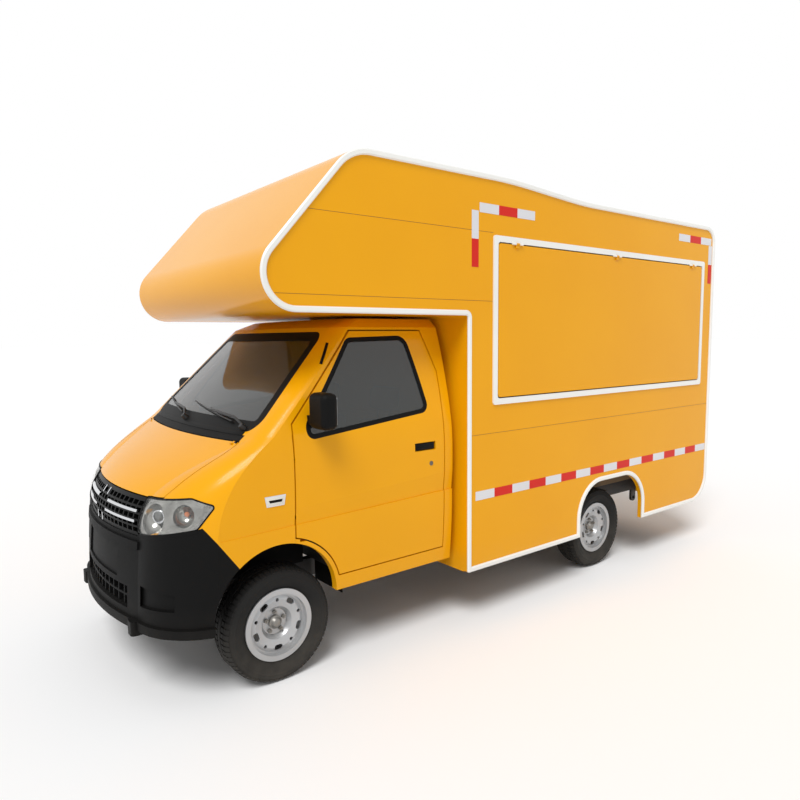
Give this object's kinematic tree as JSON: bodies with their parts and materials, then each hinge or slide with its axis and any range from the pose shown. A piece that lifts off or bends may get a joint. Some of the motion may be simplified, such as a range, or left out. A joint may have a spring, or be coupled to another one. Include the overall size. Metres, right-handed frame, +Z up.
{
  "type": "food truck",
  "caption": "Small food truck: bonneted cab with opening doors under a box body with over-cab nose, lift-up serving hatches, rear door and steerable wheels.",
  "frame": {"origin": "on the ground under the middle of the truck", "axes": "+X forward, +Y to the truck's left, +Z up"},
  "size_m": [4.6485, 1.9, 2.6099],
  "materials": {
    "paint_yellow": "glossy yellow-orange paint",
    "hatch_yellow": "glossy yellow-orange paint on sheet",
    "trim_white": "white moulded edge strip",
    "frame_white": "white powder coat",
    "bumper_black": "grained black plastic",
    "grille_black": "black moulded mesh",
    "lamp_chrome": "bright reflector",
    "lamp_lens": "clear lens",
    "tail_red": "red lens",
    "window_glass": "tinted glass",
    "tyre_rubber": "black rubber",
    "wheel_silver": "silver painted steel",
    "chassis_black": "black chassis paint",
    "engine_metal": "cast",
    "exhaust_steel": "dull steel",
    "axle_black": "painted forging",
    "cabin_grey": "grained grey plastic",
    "seat_fabric": "woven cloth",
    "floor_ply": "sheet flooring",
    "hinge_steel": "steel",
    "seal_black": "black rubber seal and black glass border",
    "grille_bright": "bright bars"
  },
  "bodies": {
    "chassis": {"arch_liners": "bumper_black", "box_floor": "floor_ply", "box_front_wall": "paint_yellow", "box_nose": "paint_yellow", "box_rear_wall": "paint_yellow", "box_roof": "paint_yellow", "box_side_left": "paint_yellow", "box_side_right": "paint_yellow", "cab_floor": "chassis_black", "cab_shell": "paint_yellow", "cowl": "bumper_black", "dashboard": "cabin_grey", "edge_trims": "trim_white", "engine_block": "engine_metal", "exhaust": "exhaust_steel", "frame_crossmembers": "chassis_black", "frame_rails": "chassis_black", "front_arms": "axle_black", "front_bumper": "bumper_black", "front_fenders": "paint_yellow", "fuel_tank": "chassis_black", "grille": "grille_black", "grille_bars": "grille_bright", "hatch_frames": "frame_white", "headlamp_lenses": "lamp_lens", "headlamps": "lamp_chrome", "leaf_springs": "axle_black", "overhang_floor": "paint_yellow", "rear_axle": "axle_black", "rear_bumper": "bumper_black", "rear_door_hinges": "hinge_steel", "seats": "seat_fabric", "steering_wheel": "cabin_grey", "tail_lamps": "tail_red", "windscreen": "window_glass", "windscreen_seal": "seal_black"},
    "steering_left": {"knuckle_left": "axle_black"},
    "steering_right": {"knuckle_right": "axle_black"},
    "wheel_front_left": {"tyre_front_left": "tyre_rubber", "rim_front_left": "wheel_silver"},
    "wheel_front_right": {"tyre_front_right": "tyre_rubber", "rim_front_right": "wheel_silver"},
    "wheel_rear_left": {"tyre_rear_left": "tyre_rubber", "rim_rear_left": "wheel_silver"},
    "wheel_rear_right": {"tyre_rear_right": "tyre_rubber", "rim_rear_right": "wheel_silver"},
    "cab_door_left": {"door_left": "paint_yellow", "door_glass_left": "window_glass", "door_seal_left": "seal_black", "mirror_left": "bumper_black"},
    "cab_door_right": {"door_right": "paint_yellow", "door_glass_right": "window_glass", "door_seal_right": "seal_black", "mirror_right": "bumper_black"},
    "bonnet_lid": {"bonnet": "paint_yellow"},
    "serving_hatch_left": {"hatch_left": "hatch_yellow"},
    "serving_hatch_right": {"hatch_right": "hatch_yellow"},
    "back_door": {"rear_door": "paint_yellow"}
  },
  "joints": [
    {"name": "steer_left", "type": "hinge", "parent": "chassis", "child": "steering_left", "pos_m": [1.655, 0.552, 0.2875], "axis": [0, 0, 1], "range_deg": [-33, 33]},
    {"name": "steer_right", "type": "hinge", "parent": "chassis", "child": "steering_right", "pos_m": [1.655, -0.552, 0.2875], "axis": [0, 0, 1], "range_deg": [-33, 33]},
    {"name": "spin_front_left", "type": "hinge", "parent": "steering_left", "child": "wheel_front_left", "pos_m": [1.655, 0.65, 0.2875], "axis": [0, 1, 0], "continuous": true},
    {"name": "spin_front_right", "type": "hinge", "parent": "steering_right", "child": "wheel_front_right", "pos_m": [1.655, -0.65, 0.2875], "axis": [0, 1, 0], "continuous": true},
    {"name": "spin_rear_left", "type": "hinge", "parent": "chassis", "child": "wheel_rear_left", "pos_m": [-0.945, 0.65, 0.2875], "axis": [0, 1, 0], "continuous": true},
    {"name": "spin_rear_right", "type": "hinge", "parent": "chassis", "child": "wheel_rear_right", "pos_m": [-0.945, -0.65, 0.2875], "axis": [0, 1, 0], "continuous": true},
    {"name": "open_door_left", "type": "hinge", "parent": "chassis", "child": "cab_door_left", "pos_m": [1.543, 0.77, 0.975], "axis": [0, 0, -1], "range_deg": [0, 65]},
    {"name": "open_door_right", "type": "hinge", "parent": "chassis", "child": "cab_door_right", "pos_m": [1.543, -0.77, 0.975], "axis": [0, 0, 1], "range_deg": [0, 65]},
    {"name": "open_bonnet", "type": "hinge", "parent": "chassis", "child": "bonnet_lid", "pos_m": [1.805, 0, 1.202], "axis": [0, -1, 0], "range_deg": [0, 60]},
    {"name": "open_hatch_left", "type": "hinge", "parent": "chassis", "child": "serving_hatch_left", "pos_m": [-0.9175, 0.875, 2.2375], "axis": [1, 0, 0], "range_deg": [0, 90]},
    {"name": "open_hatch_right", "type": "hinge", "parent": "chassis", "child": "serving_hatch_right", "pos_m": [-0.9175, -0.875, 2.2375], "axis": [-1, 0, 0], "range_deg": [0, 90]},
    {"name": "open_back_door", "type": "hinge", "parent": "chassis", "child": "back_door", "pos_m": [-2.301, 0.4035, 1.53], "axis": [0, 0, -1], "range_deg": [0, 110]}
  ],
  "couplings": [
    {"joint": "steer_right", "follows": "steer_left", "ratio": 1}
  ]
}
